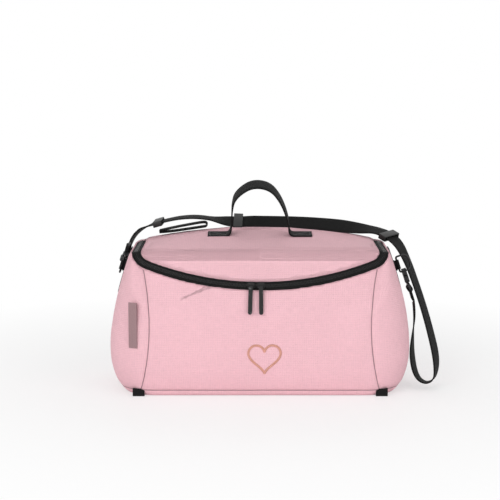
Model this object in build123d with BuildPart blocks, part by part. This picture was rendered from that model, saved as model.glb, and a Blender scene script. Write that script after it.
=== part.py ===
"""Soft baby changing bag with a zipped lid, carry handle and shoulder strap.

Millimetres. The origin is the middle of the base, +Z is up and the front faces -Y.
"""

import os
from math import asin, atan, cos, degrees, pi, radians, sin, sqrt, tan

from build123d import *

os.makedirs("parts", exist_ok=True)

# ---- the bag's overall size --------------------------------------------------------
BAG_WIDTH = 440.0  # widest, from end panel to end panel
BAG_DEPTH = 198.0  # deepest, from front to back
BAG_HEIGHT = 225.0  # top of the back edge
FORM_TOP = 1.045 * BAG_HEIGHT  # the form is drawn past the top and trimmed to it

# ---- cloth -------------------------------------------------------------------------
WALL = 5.0  # outer cloth with its foam
LINING = 1.0
BASE_HEIGHT = 7.0  # how far the base panel turns up
SEAM_X = 176.0  # front and back panels end here, at the end panels
BOARD = 2.5  # stiffening board in the base
POCKET_WIDE = 170.0  # flat pocket inside the back
POCKET_DEEP = 10.0
POCKET_TALL = 95.0
POCKET_FOOT = 42.0
POCKET_CLOTH = 1.2

# ---- lid and zip -------------------------------------------------------------------
LEAN = 25.0  # the upper front leans back by this many degrees
ZIP_Z = 161.0  # lowest point of the zip, at the middle of the front
ZIP_SET_BACK = 17.0  # that point lies behind the foremost line of the bag
ZIP_RISE = 39.0  # rise of the zip's arc to its ends, measured in the leaning plane
LID_HALF = 180.0  # half the lid's width, to the middle of the zip
LID_CORNER = 24.0  # bend of the zip where it turns back along the ends
LID_FRONT = 54.0  # the leaning front goes on this far above the zip's lowest point
LID_BEND = 30.0
CROWN = 18.0  # the top is this much lower at the ends than in the middle
HINGE_Y = 60.0  # the lid's cloth hinge
HINGE_GAP = 0.4
ZIP_HALF = 6.0  # each tape's visible width
TAPE_DEPTH = 1.0
TAPE = 1.4
COIL = 2.2
ZIP_GAP = 0.3

SLIDER = (11.0, 9.0, 2.0)
SLIDER_GAP = 0.3
SLIDERS = {"left": -13.6, "right": 1.0}  # where each slider stands along the front
CHEEK = 1.2
PIN = 0.9  # radius
RUNNING_FIT = 0.08
HEAD_WALL = 1.0
PULL_WIDTH = 6.0
PULL_LENGTH = 44.0
PULL = 1.6
CLEAR = 0.3

# ---- carry handle ------------------------------------------------------------------
HANDLE_Y = 22.0
HANDLE_HALF = 43.0  # half the distance between the two legs
HANDLE_HEIGHT = 80.0
HANDLE_BAND = 30.0
HANDLE_CLOTH = 2.4
HANDLE_LEAN = 20.0
PATCH_LENGTH = 35.0

# ---- rings, hooks and shoulder strap -----------------------------------------------
RING_Z = 177.0
RING_OFF = 6.8  # the ring's bar stands this far off the end panel
RING_TALL = 24.0
RING_DEEP = 18.0
RING_BEND = 9.0
RING_HEEL = 2.5
WIRE = 1.4  # radius
TAB_CLOTH = 1.5
TAB_TALL = 14.0
TAB_WIDE = 17.0
STRIP_HALF = 10.0
STRIP = 1.8
STRIP_TOP = 205.0
STRIP_FOOT = 140.0
HOOK_ALONG = 6.0  # the right hook hangs this far out along its ring
HOOK_RISE = 20.0  # the left hook points back along the end panel and up by this much
CLAW = 6.4  # outer radius
CLAW_HOLE = 4.0
HOOK_THICK = 7.0
SHANK_WIDTH = 9.5
SHANK_LENGTH = 10.0
GATE_HALF = 3.6
GATE = 2.0
STEM = 1.9
STEM_LENGTH = 7.0
EYE_WINDOW = 26.0
EYE_BAR = 3.0
EYE_DEEP = 11.0
EYE_THICK = 3.4
END_LOOP = 4.2
END_HOLE = 2.5
END_CLOTH = 3.4
END_BAND = 24.0
END_LENGTH = 18.0
STRAP_TUBE = 8.0  # the free strap as a round tube of about the same weight
STRAP_ROUTE = [
    (229.5, 0.0, 123.6),
    (231.5, -5.0, 105.0),
    (228.0, -14.0, 78.0),
    (225.5, -24.0, 50.0),
    (228.5, -33.0, 26.0),
    (235.0, -38.5, 13.0),
    (246.0, -41.0, 8.0),
    (256.5, -40.0, 13.0),
    (261.0, -36.0, 27.0),
    (260.5, -31.5, 48.0),
    (253.5, -25.0, 79.0),
    (244.5, -16.0, 113.0),
    (233.5, -2.0, 148.0),
    (222.0, 16.0, 181.0),
    (207.8, 41.2, 209.4),
    (185.6, 64.2, 221.4),
    (154.0, 78.0, 223.5),
    (114.0, 86.0, 228.0),
    (68.0, 84.0, 231.0),
    (26.0, 86.5, 231.5),
    (-12.0, 85.0, 232.0),
    (-52.0, 86.0, 233.5),
    (-90.0, 84.0, 241.0),
    (-118.0, 83.0, 240.5),
    (-143.0, 80.0, 236.0),
    (-166.0, 83.0, 229.5),
    (-185.0, 87.0, 221.0),
    (-195.0, 79.0, 208.0),
    (-198.9, 60.4, 199.8),
]
SLIDES = {"right": 14, "middle": 20, "left": 24}  # each sits on the run after this point
SLIDE_LONG = 13.0
SLIDE_WIDE = 28.0
GLIDE_FIT = 0.4
SLIDE_WALL = 1.3
SLACK_LENGTH = 82.0
SLACK_HEIGHT = 11.0
SLACK_BAND = 22.0
SLACK = 1.8
SLACK_X = -119.0
SLACK_Y = 79.0
SLACK_RISE = 1.4  # the loop bridges the crowned top by this much

# ---- trim --------------------------------------------------------------------------
CORNER_TAB = 17.0
CORNER_TAB_TALL = 11.0
CORNER_TAB_OUT = 4.0
CORNER_TAB_IN = 20.0
LABEL = (13.0, 1.2, 66.0)
LABEL_X = 182.0
LABEL_Z = 106.0
LABEL_TURN = 22.0
LABEL_GAP = 0.9

HALF = BAG_WIDTH / 2
FRONT = -0.515 * BAG_DEPTH
BACK = 0.485 * BAG_DEPTH
ZIP_Y = FRONT + ZIP_SET_BACK
FAR = 2 * BAG_WIDTH

# height, half width, front, back, front corner, back corner
FORM = [
    (0.0, HALF - 24, FRONT + 16, BACK - 12, 44, 26),
    (0.105 * BAG_HEIGHT, HALF - 7, FRONT + 5, BACK - 4, 54, 30),
    (0.31 * BAG_HEIGHT, HALF, FRONT, BACK, 60, 32),
    (0.555 * BAG_HEIGHT, HALF - 7, FRONT + 1, BACK - 1, 60, 32),
    (0.8 * BAG_HEIGHT, HALF - 22, FRONT + 5, BACK - 4, 56, 30),
    (FORM_TOP, HALF - 42, FRONT + 10, BACK - 8, 52, 28),
]


def zip_plane(along=0.0, off=0.0):
    """The leaning plane of the zip, turned to a place along the zip's arc."""
    turn = asin(along / ZIP_RADIUS)
    lean = radians(LEAN)
    across, up = ZIP_RADIUS * sin(turn), ZIP_RADIUS * (1 - cos(turn))
    spot = Vector(across, ZIP_Y + up * sin(lean), ZIP_Z + up * cos(lean))
    out = Vector(0, -cos(lean), sin(lean))
    tangent = Vector(cos(turn), sin(turn) * sin(lean), sin(turn) * cos(lean))
    return Plane(origin=spot + out * off, x_dir=tangent, z_dir=out)


ZIP_RADIUS = (LID_HALF**2 + ZIP_RISE**2) / (2 * ZIP_RISE)
LID_TOP_Y = ZIP_Y + LID_FRONT * sin(radians(LEAN))
LID_TOP_Z = ZIP_Z + LID_FRONT * cos(radians(LEAN))
TOP_SLOPE = (BAG_HEIGHT - LID_TOP_Z) / (HINGE_Y - LID_TOP_Y)


def lid_height(y):
    """Height of the lid's middle line at a depth."""
    return BAG_HEIGHT - (HINGE_Y - y) * TOP_SLOPE


def bag_form(inset):
    """The bag's closed form, drawn in by `inset` on every side."""
    lean = radians(LEAN)
    plane_y = ZIP_Y + inset / cos(lean)
    drop = inset / cos(atan(TOP_SLOPE))
    bend = (plane_y + (LID_TOP_Z - drop - ZIP_Z) * tan(lean), LID_TOP_Z - drop)
    with BuildPart() as form:
        for height, half, front, back, front_bend, back_bend in FORM:
            with BuildSketch(Plane.XY.offset(height)):
                with Locations((0, (front + back) / 2)):
                    Rectangle(2 * (half - inset), back - front - 2 * inset)
                fillet(vertices().group_by(Axis.Y)[0], front_bend - inset)
                fillet(vertices().group_by(Axis.Y)[-1], back_bend - inset)
        loft()
        with BuildSketch(Plane.YZ):
            with BuildLine():
                Polyline(
                    (plane_y - (ZIP_Z - inset) * tan(lean), inset),
                    bend,
                    (HINGE_Y, BAG_HEIGHT - drop),
                    (BAG_DEPTH, BAG_HEIGHT - inset),
                    (BAG_DEPTH, inset),
                    close=True,
                )
            make_face()
            fillet(vertices().sort_by_distance(bend)[0], LID_BEND - inset)
        extrude(amount=HALF + inset + WALL, both=True, mode=Mode.INTERSECT)
        with BuildSketch(Plane.XZ):
            with BuildLine():
                crown = ThreePointArc(
                    (-HALF, BAG_HEIGHT - CROWN * (HALF / LID_HALF) ** 2 - inset),
                    (0, BAG_HEIGHT + 1 - inset),
                    (HALF, BAG_HEIGHT - CROWN * (HALF / LID_HALF) ** 2 - inset),
                )
                Polyline(crown @ 1, (HALF, -WALL), (-HALF, -WALL), crown @ 0)
            make_face()
        extrude(amount=BAG_DEPTH, both=True, mode=Mode.INTERSECT)
    return form.part


def zip_cutter(grow, hinge_gap=0.0):
    """Everything inside the zip's line, grown sideways, forward of the lid's hinge."""
    with BuildPart() as cutter:
        with BuildSketch(zip_plane()):
            with BuildLine():
                smile = ThreePointArc((-LID_HALF, ZIP_RISE), (0, 0), (LID_HALF, ZIP_RISE))
                Polyline(smile @ 1, (LID_HALF, BAG_HEIGHT), (-LID_HALF, BAG_HEIGHT), smile @ 0)
            make_face()
            fillet(vertices().group_by(Axis.Y)[0], LID_CORNER)
            if grow:
                offset(amount=grow, kind=Kind.INTERSECTION)
        extrude(amount=BAG_DEPTH, both=True)
        split(bisect_by=Plane.XZ.offset(-(HINGE_Y - hinge_gap)), keep=Keep.TOP)
    return cutter.part


outer = bag_form(0)
lid_zone = zip_cutter(-ZIP_HALF, HINGE_GAP)
open_zone = zip_cutter(ZIP_HALF)

# ---- sewn body ---------------------------------------------------------------------
with BuildPart() as shell:
    add(outer)
    add(bag_form(WALL), mode=Mode.SUBTRACT)

with BuildPart() as body_shell:
    add(shell.part)
    add(open_zone, mode=Mode.SUBTRACT)

with BuildPart() as base_panel:
    add(body_shell.part)
    Box(FAR, FAR, BASE_HEIGHT, align=(Align.CENTER, Align.CENTER, Align.MIN), mode=Mode.INTERSECT)

with BuildPart() as front_panel:
    add(body_shell.part)
    with Locations((0, 0, BASE_HEIGHT)):
        Box(2 * SEAM_X, FAR, FAR, align=(Align.CENTER, Align.MAX, Align.MIN), mode=Mode.INTERSECT)

with BuildPart() as back_panel:
    add(body_shell.part)
    with Locations((0, 0, BASE_HEIGHT)):
        Box(2 * SEAM_X, FAR, FAR, align=(Align.CENTER, Align.MIN, Align.MIN), mode=Mode.INTERSECT)

with BuildPart() as lining_shell:
    add(bag_form(WALL))
    add(bag_form(WALL + LINING), mode=Mode.SUBTRACT)

with BuildPart() as lining:
    add(lining_shell.part)
    add(open_zone, mode=Mode.SUBTRACT)

inside = WALL + LINING + CLEAR
with BuildPart() as base_board:
    add(bag_form(inside))
    with Locations((0, 0, inside)):
        Box(
            2 * SEAM_X,
            0.7 * BAG_DEPTH,
            BOARD,
            align=(Align.CENTER, Align.CENTER, Align.MIN),
            mode=Mode.INTERSECT,
        )

with BuildPart() as inner_pocket:
    add(bag_form(inside))
    with Locations((0, 0, POCKET_FOOT)):
        Box(
            POCKET_WIDE,
            FAR,
            POCKET_TALL,
            align=(Align.CENTER, Align.MIN, Align.MIN),
            mode=Mode.INTERSECT,
        )
    add(bag_form(inside + POCKET_DEEP), mode=Mode.SUBTRACT)

with BuildPart() as pocket_space:
    add(bag_form(inside + POCKET_CLOTH))
    with Locations((0, 0, POCKET_FOOT + POCKET_CLOTH)):
        Box(
            POCKET_WIDE - 2 * POCKET_CLOTH,
            FAR,
            POCKET_TALL,
            align=(Align.CENTER, Align.MIN, Align.MIN),
            mode=Mode.INTERSECT,
        )
    add(bag_form(inside + POCKET_DEEP - POCKET_CLOTH), mode=Mode.SUBTRACT)

with BuildPart() as pocket:
    add(inner_pocket.part)
    add(pocket_space.part, mode=Mode.SUBTRACT)

# ---- lid ---------------------------------------------------------------------------
with BuildPart() as lid_panel:
    add(shell.part)
    add(lid_zone, mode=Mode.INTERSECT)

with BuildPart() as lid_lining:
    add(lining_shell.part)
    add(lid_zone, mode=Mode.INTERSECT)

# ---- zip ---------------------------------------------------------------------------
with BuildPart() as tape_skin:
    add(bag_form(TAPE_DEPTH))
    add(bag_form(TAPE_DEPTH + TAPE), mode=Mode.SUBTRACT)

with BuildPart() as coil_skin:
    add(outer)
    add(bag_form(TAPE_DEPTH), mode=Mode.SUBTRACT)

with BuildPart() as zip_tape_body:
    add(tape_skin.part)
    add(open_zone, mode=Mode.INTERSECT)
    add(zip_cutter(ZIP_GAP), mode=Mode.SUBTRACT)

with BuildPart() as zip_coil_body:
    add(coil_skin.part)
    add(zip_cutter(COIL), mode=Mode.INTERSECT)
    add(zip_cutter(ZIP_GAP), mode=Mode.SUBTRACT)

with BuildPart() as zip_tape_lid:
    add(tape_skin.part)
    add(zip_cutter(-ZIP_GAP, HINGE_GAP), mode=Mode.INTERSECT)
    add(zip_cutter(-ZIP_HALF), mode=Mode.SUBTRACT)

with BuildPart() as zip_coil_lid:
    add(coil_skin.part)
    add(zip_cutter(-ZIP_GAP, HINGE_GAP), mode=Mode.INTERSECT)
    add(zip_cutter(-COIL), mode=Mode.SUBTRACT)

parts = {
    "base_panel": base_panel.part,
    "front_panel": front_panel.part,
    "back_panel": back_panel.part,
    "lining": lining.part,
    "base_board": base_board.part,
    "inner_pocket": pocket.part,
    "lid_panel": lid_panel.part,
    "lid_lining": lid_lining.part,
    "zip_tape_body": zip_tape_body.part,
    "zip_coil_body": zip_coil_body.part,
    "zip_tape_lid": zip_tape_lid.part,
    "zip_coil_lid": zip_coil_lid.part,
}

PIN_OFF = SLIDER_GAP + SLIDER[2] + CLEAR + HEAD_WALL + RUNNING_FIT + PIN
for name, along in SLIDERS.items():
    seat = zip_plane(along, SLIDER_GAP)
    pin_line = zip_plane(along, PIN_OFF)
    with BuildPart() as slider:
        with BuildSketch(seat):
            Rectangle(SLIDER[0], SLIDER[1])
            fillet(vertices(), SLIDER[1] / 3)
        extrude(amount=SLIDER[2])
        with BuildSketch(pin_line):
            with GridLocations(PULL_WIDTH + 2 * CLEAR + CHEEK, 0, 2, 1):
                Rectangle(CHEEK, 2 * (PIN + HEAD_WALL))
        extrude(amount=-(PIN_OFF - SLIDER_GAP - SLIDER[2] / 2))
        cheek_tops = faces().filter_by(pin_line).sort_by(Axis.Z)[-2:]
        extrude(cheek_tops, amount=PIN)
        with BuildSketch(Plane(pin_line.origin, z_dir=pin_line.x_dir)):
            Circle(PIN)
        extrude(amount=PULL_WIDTH / 2 + CLEAR + CHEEK / 2, both=True)
    parts[f"zip_slider_{name}"] = slider.part
    with BuildPart() as pull:
        with BuildSketch(Plane(pin_line.origin, z_dir=pin_line.x_dir)):
            Circle(PIN + RUNNING_FIT + HEAD_WALL)
        extrude(amount=PULL_WIDTH / 2, both=True)
        with BuildSketch(zip_plane(along, PIN_OFF - PULL / 2)):
            with Locations((0, -PULL_LENGTH / 2)):
                Rectangle(PULL_WIDTH, PULL_LENGTH)
            fillet(vertices().group_by(Axis.Y)[0], 0.49 * PULL_WIDTH)
        extrude(amount=PULL)
        with BuildSketch(Plane(pin_line.origin, z_dir=pin_line.x_dir)):
            Circle(PIN + RUNNING_FIT)
        extrude(amount=PULL_WIDTH, both=True, mode=Mode.SUBTRACT)
    parts[f"zip_pull_{name}"] = pull.part

# ---- carry handle ------------------------------------------------------------------
lid_lean = degrees(atan(TOP_SLOPE))
lid_spot = Plane(origin=(0, HANDLE_Y, lid_height(HANDLE_Y))).rotated((lid_lean, 0, 0))
HANDLE_AXIS = lid_spot.origin + lid_spot.z_dir * (HANDLE_CLOTH + CLEAR + HANDLE_BAND / 2)
handle_side = Plane(origin=HANDLE_AXIS, x_dir=(0, 1, 0), z_dir=(1, 0, 0)).rotated((HANDLE_LEAN, 0, 0))
handle_front = Plane(origin=HANDLE_AXIS, x_dir=(1, 0, 0), z_dir=(0, -1, 0)).rotated((HANDLE_LEAN, 0, 0))
leg = HANDLE_HEIGHT - HANDLE_HALF - HANDLE_BAND / 2
foot = HANDLE_BAND / 2

with BuildPart() as carry_handle:
    with BuildSketch(handle_front):
        for half, mode in ((HANDLE_HALF + HANDLE_CLOTH, Mode.ADD), (HANDLE_HALF, Mode.SUBTRACT)):
            with Locations((0, leg)):
                Circle(half, mode=mode)
                Rectangle(2 * half, leg + foot, align=(Align.CENTER, Align.MAX), mode=mode)
    extrude(amount=HANDLE_BAND / 2, both=True)
    with BuildSketch(handle_side):
        Circle(HANDLE_BAND / 2)
        Rectangle(HANDLE_BAND, FAR, align=(Align.CENTER, Align.MIN))
    extrude(amount=2 * HANDLE_HALF, both=True, mode=Mode.INTERSECT)
parts["carry_handle"] = carry_handle.part

for name, side in (("left", -1), ("right", 1)):
    with BuildPart() as patch:
        with BuildSketch(lid_spot):
            with Locations((side * (HANDLE_HALF + PATCH_LENGTH / 2), 0)):
                Rectangle(PATCH_LENGTH, HANDLE_BAND)
        extrude(amount=HANDLE_CLOTH)
    parts[f"handle_patch_{name}"] = patch.part

# ---- end panels with their strips, rings and hooks -----------------------------------
with BuildPart() as end_strip:
    add(bag_form(-STRIP))
    with Locations((SEAM_X, 0, STRIP_FOOT)):
        Box(
            HALF,
            2 * STRIP_HALF,
            STRIP_TOP - STRIP_FOOT,
            align=(Align.MIN, Align.CENTER, Align.MIN),
            mode=Mode.INTERSECT,
        )
    add(outer, mode=Mode.SUBTRACT)
parts["end_strip_right"] = end_strip.part
parts["end_strip_left"] = mirror(end_strip.part, about=Plane.YZ)


def end_half(height):
    """Half width of the bag at the middle of an end panel."""
    across = Edge.make_line((0, 0, height), (FAR, 0, height))
    return (outer & across).bounding_box().max.X


SLOPE = (end_half(RING_Z - TAB_TALL / 2) - end_half(RING_Z + TAB_TALL / 2)) / TAB_TALL

for name, side in (("left", -1), ("right", 1)):
    with BuildPart() as end_panel:
        add(body_shell.part)
        with Locations((side * SEAM_X, 0, BASE_HEIGHT)):
            Box(
                FAR,
                FAR,
                FAR,
                align=(Align.MIN if side > 0 else Align.MAX, Align.CENTER, Align.MIN),
                mode=Mode.INTERSECT,
            )
    parts[f"end_panel_{name}"] = end_panel.part

    up = Vector(-side * SLOPE, 0, 1).normalized()
    out = Vector(side, 0, SLOPE).normalized()
    surface = Vector(side * end_half(RING_Z), 0, RING_Z)
    bar_middle = surface + out * RING_OFF
    with BuildPart() as ring_tab:
        with BuildSketch(Plane(surface, x_dir=out, z_dir=up)):
            with Locations((RING_OFF, 0)):
                Circle(WIRE + RUNNING_FIT + TAB_CLOTH)
            with Locations((STRIP + CLEAR, 0)):
                Rectangle(RING_OFF - STRIP - CLEAR, 2 * TAB_CLOTH, align=(Align.MIN, Align.CENTER))
                Rectangle(TAB_CLOTH, TAB_WIDE, align=(Align.MIN, Align.CENTER))
            with Locations((RING_OFF, 0)):
                Circle(WIRE + RUNNING_FIT, mode=Mode.SUBTRACT)
        extrude(amount=TAB_TALL / 2, both=True)
    parts[f"ring_tab_{name}"] = ring_tab.part

    # The right ring stands out and carries its hook below. The left one lies back along
    # the end panel, and its hook points up to the rear corner.
    deep = out if side > 0 else Vector(0, 1, 0)
    ring_plane = Plane(bar_middle, x_dir=deep, z_dir=deep.cross(up))
    with BuildPart() as d_ring:
        with BuildLine(ring_plane):
            wire = FilletPolyline(
                (0, RING_TALL / 2),
                (RING_DEEP, RING_TALL / 2),
                (RING_DEEP, -RING_TALL / 2),
                (0, -RING_TALL / 2),
                radius=[RING_HEEL, RING_BEND, RING_BEND, RING_HEEL],
                close=True,
            )
        with BuildSketch(Plane(wire @ 0, z_dir=wire % 0)):
            Circle(WIRE)
        sweep()
    parts[f"d_ring_{name}"] = d_ring.part

    if side > 0:
        hold = Vector(HOOK_ALONG, -RING_TALL / 2)
        reach = up * -1
        grip_gap = CLEAR
    else:
        rise = radians(HOOK_RISE)
        bend_middle = Vector(RING_DEEP - RING_BEND, RING_TALL / 2 - RING_BEND)
        hold = bend_middle + Vector(cos(rise), sin(rise)) * RING_BEND
        reach = (deep * cos(rise) + up * sin(rise)).normalized()
        grip_gap = CLEAR + RING_BEND - sqrt(RING_BEND**2 - (HOOK_THICK / 2) ** 2)
    grip = ring_plane.from_local_coords(hold)
    across = ring_plane.z_dir
    hook_plane = Plane(grip, x_dir=across, z_dir=across.cross(reach))
    claw_y = CLAW_HOLE - WIRE - grip_gap
    shank_y = claw_y + CLAW - 1.5
    shank_end = shank_y + SHANK_LENGTH
    with BuildPart() as snap_hook:
        with BuildSketch(hook_plane):
            with Locations((0, claw_y)):
                Circle(CLAW)
            with Locations((0, shank_y)):
                Rectangle(SHANK_WIDTH, SHANK_LENGTH, align=(Align.CENTER, Align.MIN))
            with Locations((0, claw_y)):
                Circle(CLAW_HOLE, mode=Mode.SUBTRACT)
            with Locations((CLAW_HOLE / 2, claw_y)):
                Rectangle(
                    CLAW, 2 * GATE_HALF, align=(Align.MIN, Align.CENTER), mode=Mode.SUBTRACT
                )
        extrude(amount=HOOK_THICK / 2, both=True)
        with BuildSketch(Plane(hook_plane.origin + hook_plane.y_dir * shank_end, z_dir=reach)):
            Circle(STEM + RUNNING_FIT)
        extrude(amount=-STEM_LENGTH, mode=Mode.SUBTRACT)
    parts[f"snap_hook_{name}"] = snap_hook.part

    with BuildPart() as gate:
        with BuildSketch(hook_plane):
            with Locations((CLAW_HOLE + GATE / 2, claw_y)):
                SlotOverall(2 * (GATE_HALF - CLEAR), GATE, rotation=90)
        extrude(amount=HOOK_THICK / 2 - CLEAR, both=True)
    parts[f"hook_gate_{name}"] = gate.part

    eye_y = shank_end + CLEAR
    eye_x = across if side > 0 else hook_plane.z_dir
    eye_plane = Plane(grip, x_dir=eye_x, z_dir=eye_x.cross(reach))
    far_bar = eye_y + EYE_DEEP - EYE_BAR / 2
    with BuildPart() as swivel:
        with BuildSketch(eye_plane):
            with Locations((0, eye_y)):
                Rectangle(
                    EYE_WINDOW + 2 * EYE_BAR, EYE_DEEP, align=(Align.CENTER, Align.MIN)
                )
            fillet(vertices(), EYE_BAR * 0.8)
            with Locations((0, eye_y + EYE_BAR)):
                Rectangle(
                    EYE_WINDOW,
                    EYE_DEEP - 2 * EYE_BAR,
                    align=(Align.CENTER, Align.MIN),
                    mode=Mode.SUBTRACT,
                )
        extrude(amount=EYE_THICK / 2, both=True)
        with BuildSketch(Plane(hook_plane.origin + hook_plane.y_dir * (eye_y + 1), z_dir=reach)):
            Circle(STEM)
        extrude(amount=-(STEM_LENGTH + 1))
    parts[f"hook_swivel_{name}"] = swivel.part

    with BuildPart() as strap_end:
        with BuildSketch(Plane(grip, x_dir=eye_plane.z_dir, z_dir=eye_x * -1)):
            with Locations((0, far_bar)):
                Circle(END_LOOP)
                Rectangle(END_CLOTH, END_LENGTH, align=(Align.CENTER, Align.MIN))
                Circle(END_HOLE, mode=Mode.SUBTRACT)
        extrude(amount=END_BAND / 2, both=True)
    parts[f"strap_end_{name}"] = strap_end.part
    print(name, "grip", grip, "reach", reach, "bar", bar_middle, "across", across)
    print("  strap leaves at", grip + reach * (far_bar + END_LENGTH))

# ---- shoulder strap ----------------------------------------------------------------
points = [Vector(*point) for point in STRAP_ROUTE]
radii = []
for before, corner, after in zip(points, points[1:], points[2:]):
    turn = radians((corner - before).get_angle(after - corner))
    shorter = min((corner - before).length, (after - corner).length)
    radii.append(0.45 * shorter / tan(turn / 2))
print("strap radii", [round(radius) for radius in radii])

with BuildPart() as strap_webbing:
    with BuildLine():
        route = FilletPolyline(*STRAP_ROUTE, radius=radii)
    with BuildSketch(Plane(route @ 0, z_dir=route % 0)):
        Circle(STRAP_TUBE / 2)
    sweep()
parts["strap_webbing"] = strap_webbing.part
section = pi * STRAP_TUBE**2 / 4
print("strap", round(route.length), "mm, volume ratio", strap_webbing.part.volume / section / route.length)

for name, start in SLIDES.items():
    run = points[start + 1] - points[start]
    middle = points[start] + run * 0.5
    level = Vector(0, 0, 1).cross(run).normalized()
    with BuildPart() as slide:
        with BuildSketch(Plane(middle, x_dir=level, z_dir=run)):
            Rectangle(SLIDE_WIDE, STRAP_TUBE + 2 * (GLIDE_FIT + SLIDE_WALL))
            fillet(vertices(), SLIDE_WALL)
            Circle(STRAP_TUBE / 2 + GLIDE_FIT, mode=Mode.SUBTRACT)
        extrude(amount=SLIDE_LONG / 2, both=True)
    parts[f"strap_slide_{name}"] = slide.part
    print("slide", name, middle, run.normalized())


def top_height(x):
    """Height of the bag's top behind the lid, which is crowned from end to end."""
    back = HINGE_Y + (BACK - HINGE_Y) / 2
    upright = Edge.make_line((x, back, 0), (x, back, FAR))
    return (outer & upright).bounding_box().max.Z


slack_slope = top_height(SLACK_X + SLACK_LENGTH / 2) - top_height(SLACK_X - SLACK_LENGTH / 2)
slack_seat = top_height(SLACK_X) + SLACK_RISE + SLACK_HEIGHT / 2
with BuildPart() as strap_slack_loop:
    with BuildSketch(
        Plane(
            origin=(SLACK_X, SLACK_Y, slack_seat),
            x_dir=(SLACK_LENGTH, 0, slack_slope),
            z_dir=(0, -1, 0),
        )
    ):
        SlotOverall(SLACK_LENGTH, SLACK_HEIGHT)
        SlotOverall(SLACK_LENGTH - 2 * SLACK, SLACK_HEIGHT - 2 * SLACK, mode=Mode.SUBTRACT)
    extrude(amount=SLACK_BAND / 2, both=True)
parts["strap_slack_loop"] = strap_slack_loop.part

# ---- trim --------------------------------------------------------------------------
for row, face_y, inwards in (("front", FRONT + 16, Align.MIN), ("back", BACK - 12, Align.MAX)):
    for name, side in (("left", -1), ("right", 1)):
        edge_y = face_y - CORNER_TAB_OUT if inwards == Align.MIN else face_y + CORNER_TAB_OUT
        with BuildPart() as corner_tab:
            with Locations((side * SEAM_X, edge_y, 0)):
                Box(
                    CORNER_TAB,
                    CORNER_TAB_IN,
                    CORNER_TAB_TALL,
                    align=(Align.CENTER, inwards, Align.MIN),
                )
            add(outer, mode=Mode.SUBTRACT)
        parts[f"corner_tab_{row}_{name}"] = corner_tab.part

label_foot = LABEL_Z - LABEL[2] / 2
inwards_line = Edge.make_line((-LABEL_X, -FAR, label_foot), (-LABEL_X, 0, label_foot))
label_spot = (outer & inwards_line).bounding_box().min
with BuildPart() as side_label:
    with Locations(Location((-LABEL_X, label_spot.Y, LABEL_Z), (0, 0, -LABEL_TURN))):
        with Locations((0, -LABEL_GAP - LABEL[1] / 2, 0)):
            Box(*LABEL)
parts["side_label"] = side_label.part

for name, part in parts.items():
    part.label = name
    export_step(part, f"parts/{name}.step")
    print(name, len(part.solids()), round(part.volume), part.bounding_box())
print("arc centre", zip_plane(0, SLIDER_GAP).origin + zip_plane().y_dir * ZIP_RADIUS)
print("handle axis", HANDLE_AXIS, "lid slope", lid_lean)
for name, along in SLIDERS.items():
    print("pin", name, zip_plane(along, PIN_OFF).origin, zip_plane(along).x_dir)
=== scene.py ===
"""Soft baby changing bag: outer cloth, lid, zip, webbing handle and shoulder strap."""

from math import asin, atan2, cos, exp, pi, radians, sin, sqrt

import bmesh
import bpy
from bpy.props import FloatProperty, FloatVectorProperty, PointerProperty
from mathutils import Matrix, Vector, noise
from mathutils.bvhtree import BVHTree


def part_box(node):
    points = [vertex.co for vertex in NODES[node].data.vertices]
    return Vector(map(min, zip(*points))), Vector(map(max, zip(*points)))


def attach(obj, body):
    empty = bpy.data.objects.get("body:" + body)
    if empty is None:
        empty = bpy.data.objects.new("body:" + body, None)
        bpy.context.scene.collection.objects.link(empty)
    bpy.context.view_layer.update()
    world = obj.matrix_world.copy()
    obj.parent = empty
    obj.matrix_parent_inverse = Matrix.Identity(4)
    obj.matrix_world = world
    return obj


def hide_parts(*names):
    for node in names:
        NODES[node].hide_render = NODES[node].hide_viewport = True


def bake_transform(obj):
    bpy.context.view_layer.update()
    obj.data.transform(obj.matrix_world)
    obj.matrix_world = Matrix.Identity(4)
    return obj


bl_info = {
    "name": "Baby changing bag",
    "version": (1, 0, 0),
    "blender": (4, 5, 0),
    "location": "3D View > Sidebar > Bag",
    "description": "Makes the cloth, zip, webbing and strap of a soft baby changing bag",
    "category": "Add Mesh",
}

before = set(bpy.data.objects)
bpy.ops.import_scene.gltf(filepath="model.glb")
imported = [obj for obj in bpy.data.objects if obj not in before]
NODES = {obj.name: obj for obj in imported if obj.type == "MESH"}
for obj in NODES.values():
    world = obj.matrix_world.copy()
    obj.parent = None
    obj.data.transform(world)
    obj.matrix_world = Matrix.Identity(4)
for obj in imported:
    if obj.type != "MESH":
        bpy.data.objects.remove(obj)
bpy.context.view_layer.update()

MM = 0.001
FAR = 1.0  # a gap for cloth with no seam near
STAGE_WHITE = (1.0, 1.0, 1.0, 1.0)

# ---- the bag's own geometry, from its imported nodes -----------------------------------
BODY_CLOTH = ("front_panel", "back_panel", "end_panel_left", "end_panel_right", "base_panel")
_, FRONT_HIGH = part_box("front_panel")
END_LOW, END_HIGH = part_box("end_panel_right")
LID_LOW, LID_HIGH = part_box("lid_panel")
SEAM_X = FRONT_HIGH.x
MIDDLE = Vector((0, (END_LOW.y + END_HIGH.y) / 2, END_HIGH.z / 2))

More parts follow.
